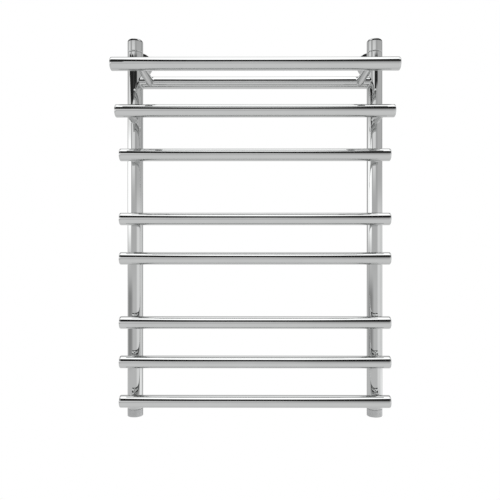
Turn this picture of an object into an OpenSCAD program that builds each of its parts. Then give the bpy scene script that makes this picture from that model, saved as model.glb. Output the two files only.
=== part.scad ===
// Ladder towel warmer with a top shelf, for a central-heating circuit.
// Millimetres. Z is up, the wall is the plane y = 0 and the room is on the -Y side.
// The origin lies on the wall, midway between the two wall brackets.

/* [Uprights] */
// Distance between the two uprights, axis to axis
upright_spacing = 500; // [400:10:600]
// Outside diameter of an upright
upright_d = 32; // [30:1:36]
// Wall thickness of an upright
upright_wall = 2; // [1.5:0.5:2.5]
// Height of the upright's top end above the bracket axis
upright_top = 8.2; // [8.2:0.2:16]
// Depth of the upright's bottom end below the bracket axis
upright_bottom = 733; // [725:1:760]
// Distance from the wall to the upright's axis
wall_distance = 55; // [55:1:65]

/* [Bars] */
// Outside diameter of every horizontal bar
bar_d = 25; // [22:0.5:26]
// Wall thickness of a bar
bar_wall = 1.5; // [1:0.25:2]
// Length of a bar over its end caps
bar_length = 546; // [530:2:560]
// Drop from the bracket axis to the shelf bars
first_drop = 53.4; // [45:0.2:60]
// Pitch between neighbouring bars in a group
bar_pitch = 79.2; // [70:0.2:85]
// Pitch across each wide towel gap
gap_pitch = 128.8; // [110:0.2:135]

/* [Stand-offs] */
// Diameter of the stand-offs and of the shelf arms
standoff_d = 16; // [14:1:18]
// Bore of the stand-offs and of the shelf arms
standoff_bore = 12; // [8:1:12]
// Upright axis to bar axis, lower bars
reach_low = 45; // [40:1:48]
// Upright axis to bar axis, first crossbar
reach_mid = 81; // [70:1:90]
// Upright axis to bar axis, front bar of the shelf
reach_shelf = 117; // [105:1:130]
// Distance of each shelf arm from the middle
arm_x = 218; // [195:1:218]

/* [Top and bottom ends] */
// Height of a decorative top cap
cap_h = 27.8; // [27:0.2:32]
// Rounding of the cap's top edge
cap_round = 5; // [3:0.5:6]
// Height of the full-diameter part of a bottom bush
bush_h = 15.5; // [15:0.5:20]
// Radius of the connection bore, half-inch pipe thread at its minor diameter
port_r = 9.32; // [9.3:0.01:9.35]

/* [Wall brackets] */
// Diameter of the pin that stands out behind the upright
pin_d = 14; // [12:1:15]
// Outside diameter of the wall post
post_d = 22; // [21:1:24]
// Radial clearance of the pin in the post
pin_clearance = 0.05; // [0.03:0.01:0.1]
// Diameter of the rosette's rim
rosette_d = 54; // [52:1:60]
// Depth of the rosette, wall to the front of its collar
rosette_h = 13; // [12.5:0.5:14]
// Diameter of the wall plate
plate_d = 46; // [44:1:48]
// Thickness of the wall plate
plate_t = 3; // [2.5:0.5:4]
// Distance between the two screw holes of a wall plate
plate_holes = 32; // [30:1:34]
// Radius of a wall screw hole
plate_hole_r = 2.75; // [2.5:0.05:2.8]

/* [Hidden] */
$fn = 72;

ux = upright_spacing / 2;
uy = -wall_distance;
ur = upright_d / 2;
ui = ur - upright_wall;
br = bar_d / 2;
bi = br - bar_wall;
sr = standoff_d / 2;
si = standoff_bore / 2;
cap_plug = 3;                       // length of an end cap outside the tube
tube_l = bar_length - 2 * cap_plug;
z_shelf = -first_drop;
// heights of the crossbars below the shelf, from the top down
z_bar = [z_shelf - bar_pitch,
         z_shelf - 2 * bar_pitch,
         z_shelf - 2 * bar_pitch - gap_pitch,
         z_shelf - 3 * bar_pitch - gap_pitch,
         z_shelf - 3 * bar_pitch - 2 * gap_pitch,
         z_shelf - 4 * bar_pitch - 2 * gap_pitch,
         z_shelf - 5 * bar_pitch - 2 * gap_pitch];
y_bar = [uy - reach_mid, for (i = [1 : 6]) uy - reach_low];
y_front = uy - reach_shelf;
z_end = -upright_bottom;
z_low = z_end - bush_h;
z_cap = upright_top + 0.1;
cap_top = upright_top + cap_h;
steel = [0.72, 0.72, 0.73];
grey = [0.6, 0.6, 0.61];
plated = [0.75, 0.72, 0.66];
black = [0.08, 0.08, 0.08];

// straight cylinders along the three axes, from a point and a length
module cyl_x(x, y, z, r, l) translate([x, y, z]) rotate([0, 90, 0]) cylinder(r = r, h = l);
module cyl_y(x, y, z, r, l) translate([x, y, z]) rotate([-90, 0, 0]) cylinder(r = r, h = l);
module cyl_z(x, y, z, r, l) translate([x, y, z]) cylinder(r = r, h = l);

// upright tube with its water ways: one to each front stand-off and one to the rear shelf bar
module stile(s) {
    color(steel) difference() {
        cyl_z(s * ux, uy, z_end, ur, upright_top - z_end);
        cyl_z(s * ux, uy, z_end - 1, ui, upright_top - z_end + 2);
        for (z = z_bar) cyl_y(s * ux, uy - ur - 1, z, si, ur + 1);
        if (s < 0) cyl_x(-ux, uy, z_shelf, 9, ur + 1);
        else cyl_x(ux - ur - 1, uy, z_shelf, 9, ur + 1);
    }
}

// closed-end bar tube with a water way in its back for each stand-off or arm
module bar(y, z, hx) {
    color(steel) difference() {
        cyl_x(-tube_l / 2, y, z, br, tube_l);
        cyl_x(-tube_l / 2 - 1, y, z, bi, tube_l + 2);
        for (s = [-1, 1]) cyl_y(s * hx, y, z, si, br + 1);
    }
}

// shelf bar between the uprights, its ends cut to the uprights' round sides
module rear_bar() {
    color(steel) difference() {
        cyl_x(-ux, uy, z_shelf, br, 2 * ux);
        cyl_x(-ux - 1, uy, z_shelf, bi, 2 * ux + 2);
        for (s = [-1, 1]) {
            cyl_z(s * ux, uy, z_shelf - 30, ur, 60);
            cyl_y(s * arm_x, uy - br - 1, z_shelf, si, br + 1);
        }
    }
}

// arm that carries the shelf's front bar from its rear bar
module arm(s) {
    color(steel) difference() {
        cyl_y(s * arm_x, y_front, z_shelf, sr, reach_shelf);
        cyl_y(s * arm_x, y_front - 1, z_shelf, si, reach_shelf + 2);
        cyl_x(s * arm_x - 20, y_front, z_shelf, br, 40);
        cyl_x(s * arm_x - 20, uy, z_shelf, br, 40);
    }
}

// stand-off between an upright and a bar, cut to both round sides
module standoff(s, y, z) {
    color(steel) difference() {
        cyl_y(s * ux, y, z, sr, uy - y);
        cyl_y(s * ux, y - 1, z, si, uy - y + 2);
        cyl_x(s * ux - 20, y, z, br, 40);
        cyl_z(s * ux, uy, z - 20, ur, 40);
    }
}

// shallow domed end cap, plugged into the end of a bar tube
end_dome = [for (i = [0 : 6]) let (a = i * 15) [br - 1.2 + 1.2 * cos(a), 0.9 + 0.9 * sin(a)]];
module end_cap(s, y, z) {
    translate([s * tube_l / 2, y, z]) rotate([0, s * 90, 0])
        rotate_extrude()
            polygon(concat([[0, -2.5], [bi, -2.5], [bi, 0], [br, 0]], end_dome,
                           [[br * 0.72, 2.35], [br * 0.4, 2.8], [br * 0.15, cap_plug], [0, cap_plug]]));
}
module end_caps(s) {
    color(steel) {
        end_cap(s, y_front, z_shelf);
        for (i = [0 : 6]) end_cap(s, y_bar[i], z_bar[i]);
    }
}

// welded bush in the upright's top, bored for the air vent
module top_bush(s) {
    color(grey) difference() {
        cyl_z(s * ux, uy, upright_top - 17, ui, 17);
        cyl_z(s * ux, uy, upright_top - 18, port_r, 19);
    }
}

// turned bush that closes the upright's bottom and takes the half-inch pipe connection
module bottom_bush(s) {
    color(grey) translate([s * ux, uy, 0]) rotate_extrude()
        polygon([[port_r, z_low], [ur - 1, z_low], [ur, z_low + 1], [ur, z_end - 0.6],
                 [ur - 0.5, z_end], [ui, z_end], [ui, z_end + 8], [7, z_end + 8],
                 [7, z_end + 0.5], [port_r, z_end + 0.5]]);
}

// air vent screwed into the top bush
module air_vent(s) {
    z0 = upright_top;
    color(plated) translate([s * ux, uy, 0]) difference() {
        rotate_extrude()
            polygon([[1.5, z0 - 10], [port_r - 0.8, z0 - 10], [port_r, z0 - 9], [port_r, z0 + 1.4],
                     [12.3, z0 + 1.4], [12.5, z0 + 1.6], [12.5, z0 + 4.6], [12.3, z0 + 4.9],
                     [9, z0 + 4.9], [9, z0 + 15], [8.6, z0 + 15.4], [2.55, z0 + 15.4],
                     [2.55, z0 - 1], [1.5, z0 - 2]]);
        cyl_x(0, 0, z0 + 7.2, 0.9, 10);
        for (a = [0 : 60 : 300]) rotate([0, 0, a]) translate([11.2, -8, z0 + 1.45]) cube([4, 16, 3.4]);
    }
}

// flat rubber seal under the air vent's flange
module vent_seal(s) {
    color(black) translate([s * ux, uy, 0]) rotate_extrude()
        polygon([[port_r, upright_top], [11.8, upright_top], [11.8, upright_top + 1.4], [port_r, upright_top + 1.4]]);
}

// bleed screw with a cone seat and a slotted head
module bleed_screw(s) {
    z0 = upright_top;
    color(plated) translate([s * ux, uy, 0]) difference() {
        rotate_extrude()
            polygon([[0, z0 - 1.7], [0.9, z0 - 1.7], [2.5, z0 - 0.1], [2.5, z0 + 15.5],
                     [3.9, z0 + 15.5], [3.9, z0 + 18.1], [3.5, z0 + 18.5], [0, z0 + 18.5]]);
        translate([-5, -0.6, z0 + 17.1]) cube([10, 1.2, 2]);
    }
}

// decorative cap: an outer shell, and a boss whose rubber ring grips the air vent
cap_edge = [for (i = [0 : 8]) let (a = i * 11.25) [ur - cap_round + cap_round * cos(a), cap_top - 0.6 - cap_round + cap_round * sin(a)]];
module top_cap(s) {
    color(steel) translate([s * ux, uy, 0]) rotate_extrude()
        polygon(concat([[ur - 0.4, z_cap], [ur, z_cap + 0.4]], cap_edge,
                       [[ur * 0.4, cap_top - 0.15], [0, cap_top],
                        [0, cap_top - 3], [9.4, cap_top - 3.2],
                        [9.4, upright_top + 13.3], [11, upright_top + 13.3], [11, upright_top + 10.9],
                        [9.4, upright_top + 10.9], [9.4, upright_top + 9.9], [12.2, upright_top + 9.9],
                        [12.2, cap_top - 4.2], [ui - 1.8, cap_top - 4.4], [ui - 0.3, cap_top - 6.4], [ui, cap_top - 8.4], [ui, z_cap]]));
}
module cap_ring(s) {
    z0 = upright_top;
    color(black) translate([s * ux, uy, 0]) rotate_extrude()
        polygon([[9.05, z0 + 11.4], [9.5, z0 + 10.9], [11, z0 + 10.9], [11, z0 + 13.3], [9.5, z0 + 13.3], [9.05, z0 + 12.8]]);
}

// pin welded to the upright's back
module bracket_pin(s) {
    color(steel) difference() {
        union() {
            cyl_y(s * ux, uy, 0, pin_d / 2, wall_distance - 15);
            translate([s * ux, -15, 0]) rotate([-90, 0, 0]) cylinder(r1 = pin_d / 2, r2 = pin_d / 2 - 1, h = 1);
        }
        cyl_z(s * ux, uy, -20, ur, 40);
    }
}

// wall post: a blind sleeve for the pin, its rear spigot riveted into the wall plate
module wall_post(s) {
    color(grey) difference() {
        union() {
            cyl_y(s * ux, -31, 0, post_d / 2, 31 - plate_t);
            cyl_y(s * ux, -plate_t, 0, 8, plate_t);
        }
        cyl_y(s * ux, -32, 0, pin_d / 2 + pin_clearance, 26);
        cyl_z(s * ux, -25, -post_d / 2 - 1, 2.5, post_d / 2 + 1);
    }
}

// wall plate with two screw holes
module wall_plate(s) {
    color(grey) difference() {
        cyl_y(s * ux, -plate_t, 0, plate_d / 2, plate_t);
        cyl_y(s * ux, -plate_t - 1, 0, 8, plate_t + 2);
        for (t = [-1, 1]) cyl_y(s * ux, -plate_t - 1, t * plate_holes / 2, plate_hole_r, plate_t + 2);
    }
}

// hexagon-socket clamp screw, in the underside of the wall post
module clamp_screw(s) {
    z0 = -post_d / 2 + 0.2;
    color(grey) translate([s * ux, -25, 0]) difference() {
        translate([0, 0, z0]) cylinder(r = 2.45, h = -pin_d / 2 - 0.05 - z0);
        translate([0, 0, z0 - 1]) cylinder(d = 2.9, h = 3.2, $fn = 6);
    }
}

// rosette: a thin shallow cone with a collar that holds a rubber ring
ro = rosette_d / 2;
module rosette(s) {
    h = rosette_h;
    color(steel) translate([s * ux, 0, 0]) rotate([90, 0, 0]) rotate_extrude()
        polygon([[ro, 0], [ro, 4.3], [ro - 0.2, 4.8], [ro - 0.7, 5.05], [ro - 6, 6.2], [ro - 12, 7.4],
                 [14.2, 7.7], [13.9, 8.2], [13.9, h - 0.5], [13.5, h], [11.8, h], [11.3, h - 0.5],
                 [11.3, h - 1.2], [13, h - 1.2], [13, h - 3.6], [11.3, h - 3.6], [11.3, h - 4.6],
                 [13.2, h - 5.4], [ro - 12, 6.1], [ro - 6, 4.9], [ro - 1.3, 3.8], [ro - 1.3, 0]]);
}
module rosette_ring(s) {
    r0 = post_d / 2 + 0.05;
    color(black) translate([s * ux, 0, 0]) rotate([90, 0, 0]) rotate_extrude()
        polygon([[r0, rosette_h - 1.8], [r0 + 0.5, rosette_h - 1.2], [13, rosette_h - 1.2],
                 [13, rosette_h - 3.6], [r0 + 0.5, rosette_h - 3.6], [r0, rosette_h - 3]]);
}

stile(-1);  // stile_left
stile(1);  // stile_right
bar(y_front, z_shelf, arm_x);  // shelf_front_bar
rear_bar();  // shelf_rear_bar
arm(-1);  // shelf_arm_left
arm(1);  // shelf_arm_right
bar(y_bar[0], z_bar[0], ux);  // crossbar_1
bar(y_bar[1], z_bar[1], ux);  // crossbar_2
bar(y_bar[2], z_bar[2], ux);  // crossbar_3
bar(y_bar[3], z_bar[3], ux);  // crossbar_4
bar(y_bar[4], z_bar[4], ux);  // crossbar_5
bar(y_bar[5], z_bar[5], ux);  // crossbar_6
bar(y_bar[6], z_bar[6], ux);  // crossbar_7
end_caps(-1);  // bar_end_caps_left
end_caps(1);  // bar_end_caps_right
standoff(-1, y_bar[0], z_bar[0]);  // standoff_long_left
standoff(1, y_bar[0], z_bar[0]);  // standoff_long_right
for (i = [1 : 6]) standoff(-1, y_bar[i], z_bar[i]);  // standoffs_left
for (i = [1 : 6]) standoff(1, y_bar[i], z_bar[i]);  // standoffs_right
top_bush(-1);  // top_bush_left
top_bush(1);  // top_bush_right
bottom_bush(-1);  // bottom_bush_left
bottom_bush(1);  // bottom_bush_right
air_vent(-1);  // air_vent_left
air_vent(1);  // air_vent_right
vent_seal(-1);  // vent_seal_left
vent_seal(1);  // vent_seal_right
bleed_screw(-1);  // bleed_screw_left
bleed_screw(1);  // bleed_screw_right
top_cap(-1);  // top_cap_left
top_cap(1);  // top_cap_right
cap_ring(-1);  // cap_ring_left
cap_ring(1);  // cap_ring_right
bracket_pin(-1);  // bracket_pin_left
bracket_pin(1);  // bracket_pin_right
wall_post(-1);  // wall_post_left
wall_post(1);  // wall_post_right
wall_plate(-1);  // wall_plate_left
wall_plate(1);  // wall_plate_right
clamp_screw(-1);  // clamp_screw_left
clamp_screw(1);  // clamp_screw_right
rosette(-1);  // rosette_left
rosette(1);  // rosette_right
rosette_ring(-1);  // rosette_ring_left
rosette_ring(1);  // rosette_ring_right
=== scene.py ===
"""Looks of the towel warmer rack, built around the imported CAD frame. Lengths in the helpers are millimetres."""
import math

import bmesh
import bpy
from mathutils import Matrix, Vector


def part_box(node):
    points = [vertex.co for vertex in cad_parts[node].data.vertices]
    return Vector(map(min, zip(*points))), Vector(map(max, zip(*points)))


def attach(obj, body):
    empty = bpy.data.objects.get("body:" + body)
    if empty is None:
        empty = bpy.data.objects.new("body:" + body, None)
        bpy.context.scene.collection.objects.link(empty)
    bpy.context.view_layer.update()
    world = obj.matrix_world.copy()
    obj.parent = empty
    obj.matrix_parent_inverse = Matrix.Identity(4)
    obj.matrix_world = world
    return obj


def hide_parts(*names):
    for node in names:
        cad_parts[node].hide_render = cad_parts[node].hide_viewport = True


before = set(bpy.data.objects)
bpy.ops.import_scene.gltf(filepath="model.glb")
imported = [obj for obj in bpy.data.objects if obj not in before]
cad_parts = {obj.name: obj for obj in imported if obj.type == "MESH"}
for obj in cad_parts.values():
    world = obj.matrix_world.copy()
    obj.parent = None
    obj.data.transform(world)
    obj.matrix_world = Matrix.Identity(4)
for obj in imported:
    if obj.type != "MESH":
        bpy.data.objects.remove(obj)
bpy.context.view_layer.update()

MM = 0.001
TAU = 2 * math.pi
SIDES = (("left", -1), ("right", 1))


# ------------------------------------------------------------------ sizes, all from the frame
def span(node):
    lo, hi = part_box(node)
    return [v / MM for v in lo], [v / MM for v in hi]


def centre(node):
    lo, hi = span(node)
    return [(a + b) / 2 for a, b in zip(lo, hi)]


lo, hi = span("stile_right")
UX, UY = (lo[0] + hi[0]) / 2, (lo[1] + hi[1]) / 2
UR = (hi[0] - lo[0]) / 2
UI = UR - 2.0
Z_TOP, Z_END = hi[2], lo[2]
BARS = {}
for n in ["shelf_front_bar", "shelf_rear_bar"] + ["crossbar_%d" % i for i in range(1, 8)]:
    c = centre(n)
    BARS[n] = (c[1], c[2])
lo, hi = span("crossbar_4")
BR = (hi[2] - lo[2]) / 2
BI = BR - 1.5
X_TIP = span("bar_end_caps_right")[1][0]
SR = (span("standoff_long_right")[1][0] - span("standoff_long_right")[0][0]) / 2
SI = SR - 2.0
ARM_X = centre("shelf_arm_right")[0]


# ------------------------------------------------------------------ mesh helpers
class Shape:
    """Collects rings of points into one mesh."""

    def __init__(self):
        self.verts, self.faces = [], []

    def rings(self, rings, loop=False):
        """Joins neighbouring rings with quads. A ring of one point is a pole. With loop the last ring meets the first."""
        idx = []
        for ring in rings:
            start = len(self.verts)
            self.verts.extend(ring)
            idx.append(list(range(start, start + len(ring))))
        pairs = list(zip(idx, idx[1:]))
        if loop:
            pairs.append((idx[-1], idx[0]))
        for a, b in pairs:
            n = max(len(a), len(b))
            for i in range(n):
                j = (i + 1) % n
                if len(a) == 1 and len(b) == 1:
                    continue
                if len(a) == 1:
                    self.faces.append((a[0], b[j], b[i]))
                elif len(b) == 1:
                    self.faces.append((a[i], a[j], b[0]))
                else:
                    self.faces.append((a[i], a[j], b[j], b[i]))
        return self


def rounded(corners, seg=4, hold=0.3):
    """A closed outline from corners (x, y, radius): each corner becomes an arc, with a holding point on both sides of it."""
    out = []
    n = len(corners)
    for i in range(n):
        x, y, r = corners[i]
        p = Vector((x, y))
        a, b = Vector(corners[i - 1][:2]), Vector(corners[(i + 1) % n][:2])
        va, vb = a - p, b - p
        la, lb = va.length, vb.length
        va.normalize(), vb.normalize()
        ang = math.acos(max(-1, min(1, va.dot(vb))))
        if r <= 0 or ang > math.radians(178):
            out.append((x, y))
            continue
        d = min(r / math.tan(ang / 2), 0.42 * la, 0.42 * lb)
        r = d * math.tan(ang / 2)
        c = p + (va + vb).normalized() * (r / math.sin(ang / 2))
        s, e = p + va * d - c, p + vb * d - c
        turn = math.atan2(s.x * e.y - s.y * e.x, s.dot(e))
        h = min(hold, 0.4 * d + 0.05)
        if la - 2 * d > 2.5 * h:
            q = p + va * (d + h)
            out.append((q.x, q.y))
        for k in range(seg + 1):
            t = turn * k / seg
            out.append((c.x + s.x * math.cos(t) - s.y * math.sin(t), c.y + s.x * math.sin(t) + s.y * math.cos(t)))
        if lb - 2 * d > 2.5 * h:
            q = p + vb * (d + h)
            out.append((q.x, q.y))
    return out


def place_z(x, y, z=0.0, s=1):
    return lambda u, v, w: Vector((x + u, y + v, z + s * w)) * MM


def place_y(x, z, y=0.0, s=1):
    return lambda u, v, w: Vector((x + u, y + s * w, z + v)) * MM


def place_x(y, z, x=0.0, s=1):
    return lambda u, v, w: Vector((x + s * w, y + u, z + v)) * MM


def lathe(shape, outline, place, n=128, loop=True, radius=None):
    """Turns an outline of (radius, height) round the axis that place gives."""
    rings = []
    for k, (r, w) in enumerate(outline):
        if r < 1e-6:
            rings.append([place(0, 0, w)])
            continue
        ring = []
        for i in range(n):
            a = TAU * i / n
            q = radius(r, w, a) if radius else r
            ring.append(place(q * math.cos(a), q * math.sin(a), w))
        rings.append(ring)
    if loop and len(rings[0]) == 1 and len(rings[-1]) == 1:
        loop = False
    return shape.rings(rings, loop)


def stub(shape, place, r, bore, s_hi, s_lo, f_hi, f_lo, n=120, seg=7, mid=2):
    """A tube whose two ends are cut to curved surfaces and run out onto them in a polished weld fillet.
    s_hi and s_lo give the height of the two surfaces over a point of the cross-section."""
    def fillet(surface, f, sign):
        rows = []
        reach = f * 1.15
        for rho, sink in ((r + reach + 0.5, 0.06), (r + reach + 0.2, 0.02)):
            rows.append([(rho * math.cos(a), rho * math.sin(a), surface(rho * math.cos(a), rho * math.sin(a)) - sign * -sink)
                         for a in (TAU * i / n for i in range(n))])
        for k in range(seg + 1):
            t = k / seg
            row = []
            for i in range(n):
                a = TAU * i / n
                c, s = math.cos(a), math.sin(a)
                foot = ((r + reach) * c, (r + reach) * s, surface((r + reach) * c, (r + reach) * s) + sign * 0.004)
                root = (r * c, r * s, surface(r * c, r * s))
                top = (r * c, r * s, root[2] - sign * f)
                w0, w1, w2 = (1 - t) ** 2, 2 * t * (1 - t), t * t
                row.append(tuple(w0 * foot[j] + w1 * root[j] + w2 * top[j] for j in range(3)))
            rows.append(row)
        return rows
    upper = fillet(s_hi, f_hi, 1)
    lower = fillet(s_lo, f_lo, -1)
    rows = upper[:]
    a, b = upper[-1], lower[-1]
    for k in range(1, mid + 3):
        t = (0.03, 0.35, 0.65, 0.97)[k - 1] if mid == 2 else k / (mid + 3)
        rows.append([(p[0], p[1], p[2] * (1 - t) + q[2] * t) for p, q in zip(a, b)])
    rows += lower[::-1]
    for surface, sign in ((s_lo, -1), (s_hi, 1)):
        rows.append([(bore * math.cos(a), bore * math.sin(a), surface(bore * math.cos(a), bore * math.sin(a)) + sign * 0.6)
                     for a in (TAU * i / n for i in range(n))])
    return shape.rings([[place(*p) for p in row] for row in rows], True)


def make(name, shape, material, body, slot, *nodes, crease=None):
    """A finished piece: a smooth-shaded mesh with outward faces, riding on its body and standing for its nodes."""
    mesh = bpy.data.meshes.new(name)
    mesh.from_pydata(shape.verts, [], shape.faces)
    bm = bmesh.new()
    bm.from_mesh(mesh)
    bmesh.ops.recalc_face_normals(bm, faces=bm.faces)
    bm.to_mesh(mesh)
    bm.free()
    mesh.polygons.foreach_set("use_smooth", [True] * len(mesh.polygons))
    o = bpy.data.objects.new(name, mesh)
    bpy.context.scene.collection.objects.link(o)
    if crease:
        mesh.set_sharp_from_angle(angle=math.radians(crease))
    mesh.materials.append(material)
    mesh.update()
    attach(o, body)
    if nodes:
        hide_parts(*nodes)
    return o


def cut(o, tools, crease=32):
    """Cuts the tools' shapes out of the piece for good, and marks the edges that the cut leaves sharp."""
    for t in tools:
        mesh = bpy.data.meshes.new("cutter")
        mesh.from_pydata(t.verts, [], t.faces)
        bm = bmesh.new()
        bm.from_mesh(mesh)
        bmesh.ops.recalc_face_normals(bm, faces=bm.faces)
        bm.to_mesh(mesh)
        bm.free()
        mesh.polygons.foreach_set("use_smooth", [True] * len(mesh.polygons))
        c = bpy.data.objects.new("cutter", mesh)
        bpy.context.scene.collection.objects.link(c)
        m = o.modifiers.new("cut", "BOOLEAN")
        m.operation, m.object, m.solver = "DIFFERENCE", c, "EXACT"
        bpy.context.view_layer.update()
        done = bpy.data.meshes.new_from_object(o.evaluated_get(bpy.context.evaluated_depsgraph_get()))
        o.modifiers.remove(m)
        old = o.data
        o.data = done
        bpy.data.meshes.remove(old)
        bpy.data.objects.remove(c)
        bpy.data.meshes.remove(mesh)
    while len(o.data.materials) > 1:
        o.data.materials.pop()
    o.data.polygons.foreach_set("material_index", [0] * len(o.data.polygons))
    o.data.set_sharp_from_angle(angle=math.radians(crease))
    return o


# ------------------------------------------------------------------ material helpers
class Nodes:
    def __init__(self, tree):
        self.t = tree
        tree.nodes.clear()

    def new(self, kind, **values):
        n = self.t.nodes.new(kind)
        for k, v in values.items():
            setattr(n, k, v)
        return n

    def put(self, socket, value):
        if hasattr(value, "links"):
            self.t.links.new(value, socket)
        else:
            socket.default_value = value

    def math(self, op, a, b=None, c=None):
        n = self.new("ShaderNodeMath", operation=op)
        for i, v in enumerate((a, b, c)):
            if v is not None:
                self.put(n.inputs[i], v)
        return n.outputs[0]

    def span(self, x, a, b, to_a=0.0, to_b=1.0, kind="SMOOTHSTEP"):
        n = self.new("ShaderNodeMapRange", interpolation_type=kind)
        n.clamp = True
        for i, v in enumerate((x, a, b, to_a, to_b)):
            self.put(n.inputs[i], v)
        return n.outputs[0]

    def mix(self, f, a, b):
        n = self.new("ShaderNodeMix", data_type="FLOAT")
        for i, v in enumerate((f, a, b)):
            self.put(n.inputs[(0, 2, 3)[i]], v)
        return n.outputs[0]

    def noise(self, vector, scale, detail=2.0, rough=0.5, distort=0.0):
        n = self.new("ShaderNodeTexNoise")
        self.put(n.inputs["Vector"], vector)
        n.inputs["Scale"].default_value = scale
        n.inputs["Detail"].default_value = detail
        n.inputs["Roughness"].default_value = rough
        n.inputs["Distortion"].default_value = distort
        return n.outputs["Fac"]

    def stretch(self, vector, scale):
        n = self.new("ShaderNodeMapping")
        self.put(n.inputs["Vector"], vector)
        n.inputs["Scale"].default_value = scale
        return n.outputs[0]

    def ramp(self, fac, stops):
        n = self.new("ShaderNodeValToRGB")
        self.put(n.inputs[0], fac)
        e = n.color_ramp.elements
        while len(e) > 1:
            e.remove(e[-1])
        e[0].position = stops[0][0]
        e[0].color = (*stops[0][1], 1)
        for p, c in stops[1:]:
            e.new(p).color = (*c, 1)
        return n.outputs[0]


def metal(name, light, dark, rough, along=(1, 1, 1), lines=900.0, line_bump=0.003, wave=0.006, patch=14.0, spec=None, aniso=0.0):
    """A metal with uneven colour, smudges in the gloss, fine tooling lines along one direction and a faint waviness."""
    m = bpy.data.materials.new(name)
    m.use_nodes = True
    g = Nodes(m.node_tree)
    out = g.new("ShaderNodeOutputMaterial")
    bsdf = g.new("ShaderNodeBsdfPrincipled")
    g.t.links.new(bsdf.outputs[0], out.inputs[0])
    co = g.new("ShaderNodeTexCoord").outputs["Object"]
    cloud = g.noise(co, patch, 4.0, 0.6)
    fine = g.noise(g.stretch(co, along), lines, 3.0, 0.55)
    colour = g.ramp(g.math("ADD", g.math("MULTIPLY", cloud, 0.7), g.math("MULTIPLY", fine, 0.3)), [(0.3, dark), (0.7, light)])
    g.put(bsdf.inputs["Base Color"], colour)
    bsdf.inputs["Metallic"].default_value = 1.0
    if aniso:
        bsdf.inputs["Anisotropic"].default_value = aniso
    smudge = g.noise(co, patch * 3.1, 5.0, 0.65, 0.4)
    r = g.math("ADD", g.span(smudge, 0.35, 0.75, rough[0], rough[1]), g.span(fine, 0.3, 0.8, 0.0, (rough[1] - rough[0]) * 0.35))
    g.put(bsdf.inputs["Roughness"], r)
    swell = g.noise(g.stretch(co, tuple(0.35 + 0.65 * a for a in along)), 26.0, 1.0, 0.4)
    b1 = g.new("ShaderNodeBump")
    b1.inputs["Strength"].default_value = wave
    b1.inputs["Distance"].default_value = 0.0004
    g.put(b1.inputs["Height"], swell)
    b2 = g.new("ShaderNodeBump")
    b2.inputs["Strength"].default_value = line_bump
    b2.inputs["Distance"].default_value = 0.00003
    g.put(b2.inputs["Height"], fine)
    g.put(b2.inputs["Normal"], b1.outputs[0])
    g.put(bsdf.inputs["Normal"], b2.outputs[0])
    return m


POL_L, POL_D = (0.565, 0.572, 0.570), (0.533, 0.540, 0.538)
steel_x = metal("polished_steel_bar", POL_L, POL_D, (0.008, 0.03), (0.04, 1, 1))
steel_z = metal("polished_steel_upright", POL_L, POL_D, (0.008, 0.03), (1, 1, 0.04))
steel_y = metal("polished_steel_standoff", POL_L, POL_D, (0.01, 0.04), (1, 0.06, 1))
steel_cap = metal("polished_steel_cap", POL_L, POL_D, (0.008, 0.03), (1, 1, 1), 500.0)
turned = metal("turned_steel", (0.50, 0.505, 0.505), (0.40, 0.405, 0.41), (0.14, 0.26), (0.02, 0.02, 1), 3200.0, 0.35, 0.02, 40.0)
turned_y = metal("turned_steel_sleeve", (0.50, 0.505, 0.505), (0.40, 0.405, 0.41), (0.14, 0.26), (0.02, 1, 0.02), 3200.0, 0.35, 0.02, 40.0)
plated = metal("plated_steel", (0.66, 0.665, 0.67), (0.50, 0.51, 0.52), (0.28, 0.46), (1, 0.05, 1), 1500.0, 0.25, 0.05, 60.0)
brass = metal("nickelled_brass", (0.70, 0.665, 0.60), (0.60, 0.56, 0.48), (0.12, 0.24), (0.03, 0.03, 1), 2600.0, 0.3, 0.03, 60.0)


def rubber_material():
    m = bpy.data.materials.new("black_rubber")
    m.use_nodes = True
    g = Nodes(m.node_tree)
    out = g.new("ShaderNodeOutputMaterial")
    bsdf = g.new("ShaderNodeBsdfPrincipled")
    g.t.links.new(bsdf.outputs[0], out.inputs[0])
    co = g.new("ShaderNodeTexCoord").outputs["Object"]
    dust = g.noise(co, 420.0, 4.0, 0.6)
    grain = g.noise(co, 5200.0, 3.0, 0.6)
    g.put(bsdf.inputs["Base Color"], g.ramp(dust, [(0.35, (0.012, 0.012, 0.013)), (0.75, (0.034, 0.033, 0.032))]))
    g.put(bsdf.inputs["Roughness"], g.span(dust, 0.3, 0.8, 0.48, 0.72))
    b = g.new("ShaderNodeBump")
    b.inputs["Strength"].default_value = 0.3
    b.inputs["Distance"].default_value = 0.00006
    g.put(b.inputs["Height"], grain)
    g.put(bsdf.inputs["Normal"], b.outputs[0])
    return m


rubber = rubber_material()


# ------------------------------------------------------------------ uprights
for side, s in SIDES:
    outline = rounded([(UR, Z_TOP, 2.4), (UR, Z_END, 1.2), (UI, Z_END, 0.2), (UI, Z_TOP, 0.2)], 8)
    long = []
    for k, p in enumerate(outline):                     # a few rings along the length
        long.append(p)
        q = outline[(k + 1) % len(outline)]
        if abs(p[1] - q[1]) > 300:
            for t in range(1, 12):
                long.append((p[0], p[1] + (q[1] - p[1]) * t / 12))
    make("stile_%s_tube" % side, lathe(Shape(), long, place_z(s * UX, UY), 160), steel_z, "rack", "polished_steel", "stile_" + side)


# ------------------------------------------------------------------ bars and their closed ends
DOME = 4.2
X_JOIN = X_TIP - DOME


def bar_outline(x):
    half = [(BR, -x), (BR, -x + 1.0)] + [(BR, -x + 1 + (2 * x - 2) * t / 10) for t in range(1, 10)] + [(BR, x - 1.0), (BR, x)]
    return half + [(BI, x), (BI, -x)]


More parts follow.
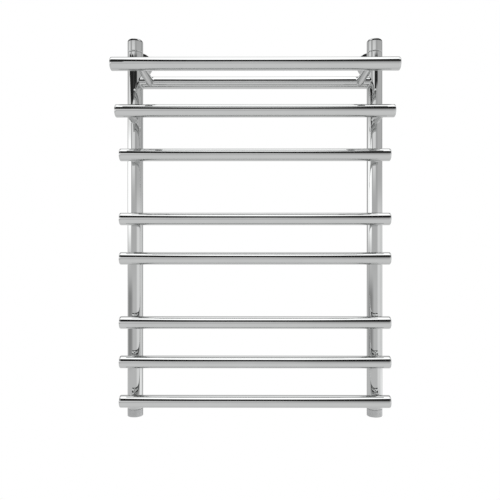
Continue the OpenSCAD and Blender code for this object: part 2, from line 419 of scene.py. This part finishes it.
for n, (y, z) in BARS.items():
    if n == "shelf_rear_bar":
        continue
    make(n + "_tube", lathe(Shape(), bar_outline(X_JOIN), place_x(y, z), 144), steel_x, "rack", "polished_steel", n)


def dome_outline():
    """Half outline of a closed bar end: the tube's line runs on, turns in on a 3 mm edge and closes in a low crown."""
    out = [(0, -2.5), (BI - 0.05, -2.5), (BI - 0.05, 0.0), (BR - 0.01, 0.0), (BR, 0.02), (BR, 0.25)]
    edge = 3.0
    crown = DOME - 0.25 - edge * 0.80
    for k in range(1, 10):
        a = math.radians(8.6 * k)
        out.append((BR - edge + edge * math.cos(a), 0.25 + edge * 0.82 * math.sin(a)))
    r0, w0 = out[-1]
    for k in range(1, 8):
        t = k / 7
        out.append((r0 * (1 - t), w0 + (DOME - w0) * (1 - (1 - t) ** 2)))
    return out


for side, s in SIDES:
    shape = Shape()
    for n, (y, z) in BARS.items():
        if n != "shelf_rear_bar":
            lathe(shape, dome_outline(), place_x(y, z, s * X_JOIN, s), 144, False)
    make("bar_end_caps_%s_domes" % side, shape, steel_x, "rack", "polished_steel", "bar_end_caps_" + side)


def round_z(r):
    return lambda u, v: math.sqrt(max(r * r - u * u, 0.0))      # a surface round the upright's axis


def round_x(r):
    return lambda u, v: math.sqrt(max(r * r - v * v, 0.0))      # a surface round a bar's axis


y_rear, z_rear = BARS["shelf_rear_bar"]
edge = round_z(UR)
make("shelf_rear_bar_tube",
     stub(Shape(), place_x(y_rear, z_rear), BR, BI, lambda u, v: UX - edge(u, v), lambda u, v: -UX + edge(u, v), 1.5, 1.5, 144, 7, 6),
     steel_x, "rack", "polished_steel", "shelf_rear_bar")

y_front, z_front = BARS["shelf_front_bar"]
for side, s in SIDES:
    shape = stub(Shape(), place_y(s * ARM_X, z_rear), SR, SI,
                 lambda u, v: y_rear - round_x(BR)(u, v), lambda u, v: y_front + round_x(BR)(u, v), 1.3, 1.3)
    make("shelf_arm_%s_tube" % side, shape, steel_y, "rack", "polished_steel", "shelf_arm_" + side)
    for name, bars in (("standoff_long_" + side, ["crossbar_1"]), ("standoffs_" + side, ["crossbar_%d" % i for i in range(2, 8)])):
        shape = Shape()
        for n in bars:
            y, z = BARS[n]
            stub(shape, place_y(s * UX, z), SR, SI, lambda u, v: UY - round_z(UR)(u, v), lambda u, v: y + round_x(BR)(u, v), 1.3, 1.3)
        make(name + "_tubes", shape, steel_y, "rack", "polished_steel", name)


# ------------------------------------------------------------------ ends of the uprights
def thread(shape, place, r_in, r_out, z0, z1, pitch, r_back, n=96, per=10):
    """The inside wall of a bush: an internal helical thread with rounded crests, fading out at both ends."""
    rows = int((z1 - z0) / pitch * per)
    rings = []
    for k in range(rows + 1):
        w = z0 + (z1 - z0) * k / rows
        fade = min(1.0, (w - z0) / (0.9 * pitch), (z1 - w) / (0.9 * pitch))
        ring = []
        for i in range(n):
            a = TAU * i / n
            ph = (w / pitch + i / n) % 1.0
            tri = 1 - abs(2 * ph - 1)                       # 0 at the crest, 1 at the root
            prof = 0.5 - 0.5 * math.cos(math.pi * max(0, min(1, (tri - 0.06) / 0.88)))
            r = r_out + (r_in - r_out) * (1 - prof) * max(0.0, fade)
            ring.append(place(r * math.cos(a), r * math.sin(a), w))
        rings.append(ring)
    return rings


Z_LOW = span("bottom_bush_right")[0][2]
PORT = 9.32
for side, s in SIDES:
    p = place_z(s * UX, UY)
    outer = [(PORT + 1.7, Z_LOW), (UR - 1.6, Z_LOW), (UR - 0.95, Z_LOW + 0.02)]
    for k in range(1, 7):
        a = math.radians(15 * k)
        outer.append((UR - 0.95 + 0.95 * math.sin(a), Z_LOW + 0.95 - 0.95 * math.cos(a)))
    outer += [(UR, Z_LOW + 1.4), (UR, Z_END - 1.2)]
    for k in range(0, 6):
        a = math.radians(15 * k)
        outer.append((UR - 0.8 + 0.8 * math.cos(a), Z_END - 0.85 + 0.8 * math.sin(a)))
    outer += [(UR - 0.95, Z_END - 0.02), (UI, Z_END - 0.02), (UI - 0.02, Z_END + 7.6), (UI - 0.4, Z_END + 8.0), (7.4, Z_END + 8.0), (7.0, Z_END + 7.6),
              (7.0, Z_END + 0.9), (7.3, Z_END + 0.5), (PORT + 0.9, Z_END + 0.5)]
    n = 96
    rings = [[p(r * math.cos(TAU * i / n), r * math.sin(TAU * i / n), w) for i in range(n)] for r, w in outer]
    rings += thread(None, p, PORT, PORT + 1.16, Z_LOW + 1.3, Z_END + 0.3, 1.814, 0)[::-1]
    make("bottom_bush_%s_turned" % side, Shape().rings(rings, True), turned, "rack", "turned_steel", "bottom_bush_" + side)

    # top bush with the ring of weld that holds it in the upright
    outline = rounded([(UI - 0.02, Z_TOP - 0.35, 0.1), (UI - 0.02, Z_TOP - 17, 0.3), (PORT, Z_TOP - 17, 0.8), (PORT, Z_TOP - 0.02, 0.9), (UI - 1.1, Z_TOP - 0.02, 0.2)])
    shape = lathe(Shape(), outline, p, 128)
    weld = []
    for k in range(8):
        a = TAU * k / 8
        weld.append((UI - 0.55 + 0.75 * math.cos(a), Z_TOP - 0.30 + 0.26 * math.sin(a)))

    def ripple(r, w, a, mid=UI - 0.55):
        return mid + (r - mid) * (1 + 0.16 * math.sin(46 * a + 0.6 * math.sin(5 * a))) + 0.05 * math.sin(7 * a + s)
    lathe(shape, weld, p, 368, True, ripple)
    make("top_bush_%s_welded" % side, shape, turned, "rack", "turned_steel", "top_bush_" + side)

    # seal and air vent
    outline = rounded([(PORT + 0.1, Z_TOP, 0.2), (11.85, Z_TOP, 0.5), (11.85, Z_TOP + 1.4, 0.5), (PORT + 0.1, Z_TOP + 1.4, 0.2)])
    make("vent_seal_%s_ring" % side, lathe(Shape(), outline, p, 96), rubber, "rack", "black_rubber", "vent_seal_" + side)

    z0 = Z_TOP
    outline = rounded([(1.5, z0 - 10, 0.2), (PORT - 0.8, z0 - 10, 0.1), (PORT - 0.05, z0 - 9, 0.1), (PORT - 0.05, z0 + 1.45, 0.05), (12.5, z0 + 1.45, 0.35),
                       (12.5, z0 + 4.9, 0.35), (9, z0 + 4.9, 0.35), (9, z0 + 15.4, 0.5), (2.55, z0 + 15.4, 0.25), (2.55, z0 - 1, 0.1), (1.5, z0 - 2, 0.1)])

    def hexed(r, w, a):
        if r < 9.6 or w < z0 + 1.6 or w > z0 + 4.75:
            return r
        q = (a + math.pi / 6) % (math.pi / 3) - math.pi / 6
        return min(r, 11.2 / math.cos(q))
    o = make("air_vent_%s_body" % side, lathe(Shape(), outline, p, 144, True, hexed), brass, "rack", "nickelled_brass", "air_vent_" + side)
    hole = lathe(Shape(), [(0, 5.0), (0.9, 5.0), (0.9, 12), (0, 12)], place_x(UY, z0 + 7.2, s * UX), 24, False)
    cut(o, [hole], 28)

    # bleed screw
    outline = [(0, z0 - 1.7)] + rounded([(0.9, z0 - 1.7, 0.1), (2.5, z0 - 0.1, 0.2), (2.5, z0 + 15.45, 0.05), (3.9, z0 + 15.45, 0.25), (3.9, z0 + 18.5, 0.45), (0.5, z0 + 18.5, 0)])[:-1] + [(0.0, z0 + 18.5)]
    outline = [q for q in outline if q[0] >= 0]
    o = make("bleed_screw_%s_slotted" % side, lathe(Shape(), outline, p, 72, False), brass, "bleed_screw_" + side, "nickelled_brass", "bleed_screw_" + side)
    slot_tool = Shape()
    ring = lambda w, g: [p(x, y, w) for x, y in ((-5, -0.6 - g), (5, -0.6 - g), (5, 0.6 + g), (-5, 0.6 + g))]
    slot_tool.rings([[p(0, 0, z0 + 17.0)], ring(z0 + 17.0, 0), ring(z0 + 18.3, 0), ring(z0 + 18.8, 0.3), [p(0, 0, z0 + 18.8)]])
    cut(o, [slot_tool], 30)

    # decorative cap: polished shell, inner boss and its ring groove
    lo_c, hi_c = span("top_cap_" + side)
    zc, zt = lo_c[2], hi_c[2]
    rr = 5.0
    cap = [(UR - 1.85, zc + 0.02)]
    for k in range(0, 9):
        a = math.radians(90 * k / 8)
        cap.append((UR - 1.7 + 1.7 * math.sin(a), zc + 1.7 - 1.7 * math.cos(a)))
    cap += [(UR, zc + 2.1), (UR, zc + 6), (UR, (zc + zt) / 2), (UR, zt - 0.6 - rr - 0.6)]
    for k in range(0, 17):
        a = math.radians(88 * k / 16)
        cap.append((UR - rr + rr * math.cos(a), zt - 0.6 - rr + rr * math.sin(a)))
    for k in range(1, 9):
        t = k / 8
        cap.append(((UR - rr) * (1 - t), zt - 0.6 + 0.6 * (1 - (1 - t) ** 2)))
    inner = [(0, zt - 3.2), (8.4, zt - 3.2), (9.0, zt - 3.4), (9.4, zt - 4.0), (9.4, z0 + 13.4), (9.5, z0 + 13.3), (10.9, z0 + 13.3), (11, z0 + 13.2), (11, z0 + 11.0), (10.9, z0 + 10.9),
             (9.5, z0 + 10.9), (9.4, z0 + 10.8), (9.4, z0 + 10.2), (9.7, z0 + 9.9), (11.9, z0 + 9.9), (12.2, z0 + 10.2), (12.2, zt - 5.0), (12.4, zt - 4.5), (12.6, zt - 4.35),
             (UI - 2.2, zt - 4.4), (UI - 0.9, zt - 5.2), (UI - 0.2, zt - 6.8), (UI, zt - 8.4), (UI, zc + 0.3), (UI + 0.1, zc + 0.06)]
    make("top_cap_%s_shell" % side, lathe(Shape(), cap + inner, p, 160, True), steel_cap, "top_cap_" + side, "polished_steel", "top_cap_" + side)

    def o_ring(mid, r, h, w, flash=0.06):
        pts = []
        for k in range(16):
            a = TAU * k / 16
            bump = flash if k in (0, 8) else 0.0
            pts.append((mid + (r + bump) * math.cos(a), w + h * math.sin(a)))
        return pts
    make("cap_ring_%s_o" % side, lathe(Shape(), o_ring(10.03, 0.92, 1.15, z0 + 12.1), p, 96), rubber, "top_cap_" + side, "black_rubber", "cap_ring_" + side)


# ------------------------------------------------------------------ wall brackets
for side, s in SIDES:
    p = place_y(s * UX, 0.0)
    # bracket pin, welded to the upright's back, with a rounded free end
    r, y_tip = 7.0, span("bracket_pin_" + side)[1][1]
    n, rows = 96, []
    surf = lambda u, v: UY + math.sqrt(UR * UR - u * u)
    circle = [(math.cos(TAU * i / n), math.sin(TAU * i / n)) for i in range(n)]
    rows.append([(3.0 * c, 3.0 * q, surf(3 * c, 3 * q) - 0.8) for c, q in circle])
    rows.append([((r + 1.05) * c, (r + 1.05) * q, surf((r + 1.05) * c, 0) - 0.30) for c, q in circle])
    rows.append([((r + 0.95) * c, (r + 0.95) * q, surf((r + 0.95) * c, 0) - 0.08) for c, q in circle])
    for k in range(8):
        t = k / 7
        row = []
        for c, q in circle:
            foot, root = ((r + 0.9) * c, (r + 0.9) * q, surf((r + 0.9) * c, 0)), (r * c, r * q, surf(r * c, 0))
            top = (r * c, r * q, root[2] + 1.5)
            row.append(tuple((1 - t) ** 2 * foot[j] + 2 * t * (1 - t) * root[j] + t * t * top[j] for j in range(3)))
        rows.append(row)
    rows.append([(r * c, r * q, UY + UR + 3.2) for c, q in circle])
    rows.append([(r * c, r * q, y_tip - 1.4) for c, q in circle])
    for k in range(6):
        a = math.radians(18 * k)
        rows.append([((r - 1 + math.cos(a)) * c, (r - 1 + math.cos(a)) * q, y_tip - 1 + math.sin(a)) for c, q in circle])
    rings = [[p(0, 0, UY + UR - 0.9)]] + [[p(*v) for v in row] for row in rows] + [[p(0, 0, y_tip)]]
    make("bracket_pin_%s_stud" % side, Shape().rings(rings), steel_y, "rack", "polished_steel", "bracket_pin_" + side)

    # wall post: blind sleeve, riveted through the plate
    lo_p, hi_p = span("wall_post_" + side)
    yf, pr = lo_p[1], (hi_p[0] - lo_p[0]) / 2
    post = [(0, -6.0)] + rounded([(6.2, -6.0, 0), (7.05, -7.2, 0.2), (7.05, yf, 0.7), (pr, yf, 0.9), (pr, -3.02, 0.1), (8.0, -3.02, 0), (8.0, -0.3, 0.3), (6.5, -0.02, 0)])[1:] + [(0, -0.02)]
    o = make("wall_post_%s_sleeve" % side, lathe(Shape(), post, p, 112, False), turned_y, "wall_mounts", "turned_steel", "wall_post_" + side)
    tap = lathe(Shape(), [(0, -12.5), (3.1, -12.5), (3.1, -pr - 0.0), (2.5, -pr + 0.7), (2.5, -6.9), (0, -6.9)], place_z(s * UX, -25.0), 48, False)
    cut(o, [tap], 30)

    # wall plate
    lo_w, hi_w = span("wall_plate_" + side)
    wr = (hi_w[0] - lo_w[0]) / 2
    o = make("wall_plate_%s_disc" % side,
             lathe(Shape(), rounded([(8.0, -0.01, 0.2), (8.0, -3.0, 0.3), (wr, -3.0, 0.7), (wr, -0.01, 0.25)]), p, 128), plated, "wall_mounts", "plated_steel", "wall_plate_" + side)
    holes = [lathe(Shape(), [(0, -4), (3.55, -4), (3.25, -3.0), (2.75, -2.5), (2.75, 1), (0, 1)], place_y(s * UX, t * 16.0), 48, False) for t in (-1, 1)]
    cut(o, holes, 28)

    # clamp screw
    zl, zh = span("clamp_screw_" + side)[0][2], span("clamp_screw_" + side)[1][2]
    pz = place_z(s * UX, -25.0)
    o = make("clamp_screw_%s_socket" % side,
             lathe(Shape(), [(0, zl)] + rounded([(0.5, zl, 0), (2.45, zl, 0.35), (2.45, zh, 0.45), (0.5, zh, 0)])[1:-1] + [(0, zh)], pz, 60, False),
             plated, "clamp_screw_" + side, "plated_steel", "clamp_screw_" + side)
    hexr = [(1.45 * math.cos(math.pi / 3 * k), 1.45 * math.sin(math.pi / 3 * k)) for k in range(6)]
    tool = Shape().rings([[pz(0, 0, zl - 1)]] + [[pz(x * q, y * q, w) for x, y in hexr] for q, w in ((1.25, zl - 1), (1.0, zl + 0.25), (1.0, zl + 2.2))] + [[pz(0, 0, zl + 2.7)]])
    cut(o, [tool], 25)

    # rosette: thin shallow cone with a collar
    ro, h = (span("rosette_" + side)[1][0] - span("rosette_" + side)[0][0]) / 2, -span("rosette_" + side)[0][1]
    pr_ = place_y(s * UX, 0.0, 0.0, -1)
    ros = rounded([(ro, 0.02, 0.2), (ro, 5.0, 0.9), (ro - 12, 7.45, 9.0), (13.9, 7.75, 0.35), (13.9, h, 0.7), (11.3, h, 0.5), (11.3, h - 1.2, 0.1), (12.98, h - 1.2, 0.1), (12.98, h - 3.6, 0.1),
                   (11.3, h - 3.6, 0.1), (11.3, h - 4.6, 0.2), (13.2, h - 5.4, 0.4), (ro - 12, 6.1, 1.5), (ro - 6, 4.9, 3), (ro - 1.3, 3.8, 0.8), (ro - 1.3, 0.02, 0.2)], 6)
    make("rosette_%s_cover" % side, lathe(Shape(), ros, pr_, 160), steel_cap, "rosette_" + side, "polished_steel", "rosette_" + side)
    ring = []
    for k in range(16):
        a = TAU * k / 16
        ring.append((12.02 + (0.94 + (0.05 if k in (0, 8) else 0)) * math.cos(a), h - 2.4 + 1.15 * math.sin(a)))
    make("rosette_ring_%s_o" % side, lathe(Shape(), ring, pr_, 96), rubber, "rosette_" + side, "black_rubber", "rosette_ring_" + side)


# ------------------------------------------------------------------ floor, light, camera
def stage_floor():
    mesh = bpy.data.meshes.new("floor")
    bm = bmesh.new()
    z, r = -1.36, 2.0
    bmesh.ops.create_circle(bm, cap_ends=True, segments=96, radius=r)
    bm.to_mesh(mesh)
    bm.free()
    o = bpy.data.objects.new("floor", mesh)
    o.location = (0, -1.2, z)
    bpy.context.scene.collection.objects.link(o)
    m = bpy.data.materials.new("pale_floor")
    m.use_nodes = True
    g = Nodes(m.node_tree)
    out = g.new("ShaderNodeOutputMaterial")
    bsdf = g.new("ShaderNodeBsdfPrincipled")
    g.t.links.new(bsdf.outputs[0], out.inputs[0])
    co = g.new("ShaderNodeTexCoord").outputs["Object"]
    g.put(bsdf.inputs["Base Color"], g.ramp(g.noise(co, 3.0, 3.0), [(0.3, (0.80, 0.80, 0.80)), (0.7, (0.84, 0.84, 0.84))]))
    bsdf.inputs["Roughness"].default_value = 0.8
    mesh.materials.append(m)
    o.visible_glossy = False                            # the reflections see the studio's own floor


stage_floor()


def painted_reflection_side_sheet():
    """Painted reflection: a black sheet in front on the left, which only the reflections see; it casts no shadow,
    lights nothing and paints the dark wedges into the uprights' reflections.
    """
    cols = ((-0.38, 0.098, 0.235), (-0.95, 0.113, 0.33), (-1.6, 0.335, 0.53), (-3.5, 1.0, 1.16), (-5.5, 1.58, 1.85))
    verts = [Vector((x, UY * MM - 0.70, z)) for x, a, b in cols for z in (a, b)]
    faces = [(2 * k, 2 * k + 2, 2 * k + 3, 2 * k + 1) for k in range(len(cols) - 1)]
    mesh = bpy.data.meshes.new("painted_reflection_side_sheet")
    mesh.from_pydata(verts, [], faces)
    o = bpy.data.objects.new("painted_reflection_side_sheet", mesh)
    bpy.context.scene.collection.objects.link(o)
    m = bpy.data.materials.new("painted_reflection_black")
    m.use_nodes = True
    g = Nodes(m.node_tree)
    out = g.new("ShaderNodeOutputMaterial")
    glow = g.new("ShaderNodeEmission")
    # near-black emission: the colour of the painted reflection, not a lamp
    glow.inputs[0].default_value = (0.03, 0.03, 0.03, 1)
    g.t.links.new(glow.outputs[0], out.inputs[0])
    mesh.materials.append(m)
    # seen by glossy rays only: the sheet is a painted reflection, never a shading board
    o.visible_camera = o.visible_diffuse = o.visible_shadow = o.visible_transmission = False


painted_reflection_side_sheet()


def painted_reflection_cap_sheets():
    """Painted reflection: a small black sheet with a window over each cap, which only the reflections see; it paints
    the dark rims into the caps' reflections.
    """
    verts, faces = [], []
    for sx in (-1, 1):
        n = len(verts)
        for x, y in ((-22, -45), (62, -45), (62, 45), (-22, 45), (-14, -8), (14, -8), (14, 24), (-14, 24)):
            verts.append(Vector((sx * (UX + x), UY + y, cap_z + 30)) * MM)
        faces += [(n + k, n + (k + 1) % 4, n + 4 + (k + 1) % 4, n + 4 + k) for k in range(4)]
    mesh = bpy.data.meshes.new("painted_reflection_cap_sheets")
    mesh.from_pydata(verts, [], faces)
    o = bpy.data.objects.new("painted_reflection_cap_sheets", mesh)
    bpy.context.scene.collection.objects.link(o)
    mesh.materials.append(bpy.data.materials["painted_reflection_black"])
    # seen by glossy rays only: the sheets are a painted reflection over the caps
    o.visible_camera = o.visible_diffuse = o.visible_shadow = o.visible_transmission = False


cap_z = span("top_cap_right")[1][2]
painted_reflection_cap_sheets()

world = bpy.data.worlds.new("studio")
bpy.context.scene.world = world
world.use_nodes = True
g = Nodes(world.node_tree)
out = g.new("ShaderNodeOutputWorld")
way = g.new("ShaderNodeTexCoord").outputs["Generated"]
sep = g.new("ShaderNodeSeparateXYZ")
g.put(sep.inputs[0], way)
DX, DY, DZ = sep.outputs
DEG = 180 / math.pi
front = g.math("MULTIPLY", DY, -1.0)
AZ = g.math("MULTIPLY", g.math("ARCTAN2", DX, front), DEG)          # 0 towards the camera's side, + to the right
EL = g.math("MULTIPLY", g.math("ARCSINE", g.math("MAXIMUM", g.math("MINIMUM", DZ, 1.0), -1.0)), DEG)
EE = g.math("MULTIPLY", g.math("ARCTAN2", DZ, front), DEG)          # angle up and over, from front to back


def window(x, a, b, soft_a, soft_b):
    up = g.span(x, a - soft_a, a + soft_a)
    down = g.span(x, b - soft_b, b + soft_b, 1.0, 0.0)
    return g.math("MULTIPLY", up, down)


def card(level, value, *windows):
    m = None
    for x, a, b, *soft in windows:
        sa, sb = (soft * 2)[:2] if soft else (1.0, 1.0)
        w = window(x, a, b, sa, sb)
        m = w if m is None else g.math("MULTIPLY", m, w)
    return g.mix(m, level, value)


L = g.span(EL, -16.0, -9.0, 0.95, 0.70, "LINEAR")                     # floor below, grey room at eye level
L = card(L, 0.84, (EE, -135, -88, 10, 8))                           # the darker strip under the object
L = card(L, 0.80, (EL, -17, -2, 3, 3), (AZ, -130, 130, 4, 4))
L = card(L, 1.12, (AZ, 33, 118, 12, 8), (EL, -15, 5, 2, 3))            # right side, low
L = card(L, 0.83, (AZ, 77, 86, 2, 2), (EL, -11, 4, 2, 2))
L = card(L, 1.60, (AZ, 94, 114, 4, 4), (EL, -16, -11.5, 1.5, 1.5))
L = card(L, 0.40, (AZ, -114, -34, 5, 22), (EL, -11.5, -3.5, 1.0, 1.5))   # dark card, low left
L = card(L, 2.05, (AZ, -118, -54, 12, 7), (EL, 1.0, 13.0, 3.5, 3.5))     # strip light, left
L = card(L, 1.22, (AZ, -97, -66, 10, 6), (EL, 12.5, 26, 3.0, 1.0))
L = card(L, 1.13, (AZ, -39, 4, 4, 4), (EL, 7.0, 26, 2.5, 1.0))          # softbox behind the camera
L = card(L, 0.52, (AZ, -55, -45, 3, 3), (EL, 9, 26, 2, 1))
L = card(L, 0.58, (AZ, -132, -118, 4, 4), (EL, 9, 26, 2, 1))
L = card(L, 0.60, (AZ, 10, 33, 3, 6), (EL, 6, 26, 2, 1))
L = card(L, 0.50, (AZ, 110, 134, 5, 5), (EL, 9, 26, 2, 1))
L = card(L, 0.66, (AZ, 140, 220, 6, 6), (EL, -20, 60, 3, 3))            # wall behind
L = card(L, 0.66, (AZ, -220, -137, 6, 6), (EL, -20, 60, 3, 3))
# black flag with a slanting lower edge, in front on the right
low = g.span(AZ, -45, 20, 13.6, 16.5, "LINEAR")
m = g.math("MULTIPLY", g.span(g.math("SUBTRACT", EL, low), -0.4, 0.4), g.span(EL, 18.9, 19.7, 1.0, 0.0))
m = g.math("MULTIPLY", m, window(AZ, -11, 36, 3, 5))
L = g.mix(m, L, 0.03)
L = card(L, 0.60, (EL, 21, 95, 1.5, 1))                               # above: the dim ceiling
L = card(L, 0.03, (EL, 22.0, 95, 0.6, 1), (AZ, -148, 148, 8, 8))       # long black flag in front and above
# overhead softbox with round corners, its front edge 51 degrees up
side = g.math("MAXIMUM", g.math("SUBTRACT", g.math("ABSOLUTE", DX), 0.05), 0.0)
curve = g.math("MINIMUM", g.math("MULTIPLY", g.math("MULTIPLY", side, side), 400.0), 18.0)
m = g.span(g.math("SUBTRACT", g.math("SUBTRACT", EE, 51.5), curve), -0.8, 0.8)
m = g.math("MULTIPLY", m, g.span(g.math("SUBTRACT", g.math("SUBTRACT", 134.0, EE), curve), -3.0, 3.0))
m = g.math("MULTIPLY", m, g.span(EL, 34, 42))
L = g.mix(m, L, g.span(EE, 95, 104, 2.05, 1.40))
L = card(L, 0.62, (EE, 134, 162, 4, 5), (EL, 16, 60, 3, 3), (DX, -0.4, 0.4, 0.05, 0.05))
sky = g.new("ShaderNodeBackground")
tint = g.new("ShaderNodeCombineColor")
for i in range(3):
    g.put(tint.inputs[i], L)
g.put(sky.inputs[0], tint.outputs[0])
plain = g.new("ShaderNodeBackground")
plain.inputs[0].default_value = (1, 1, 1, 1)
seen = g.new("ShaderNodeLightPath").outputs["Is Camera Ray"]
both = g.new("ShaderNodeMixShader")
g.put(both.inputs[0], seen)
g.t.links.new(sky.outputs[0], both.inputs[1])
g.t.links.new(plain.outputs[0], both.inputs[2])
g.t.links.new(both.outputs[0], out.inputs[0])

lamp = bpy.data.lights.new("soft_light", "AREA")
lamp.shape, lamp.size, lamp.size_y, lamp.energy = "RECTANGLE", 2.4, 1.6, 12.0
light = bpy.data.objects.new("soft_light", lamp)
light.location = (0.0, -1.0, 1.7)
light.visible_glossy = False
light.visible_camera = False
bpy.context.scene.collection.objects.link(light)

cam = bpy.data.cameras.new("camera")
cam.sensor_fit, cam.sensor_width = "HORIZONTAL", 36.0
cam.lens = 39.25
cam.clip_start, cam.clip_end = 0.01, 50.0
camera = bpy.data.objects.new("camera", cam)
camera.location = (-0.0059, -1.195, -0.4029)
camera.rotation_euler = (math.radians(90), 0.0, math.radians(0.213))
bpy.context.scene.collection.objects.link(camera)
bpy.context.scene.camera = camera
bpy.context.scene.view_settings.view_transform = "Standard"
bpy.context.scene.view_settings.look = "None"
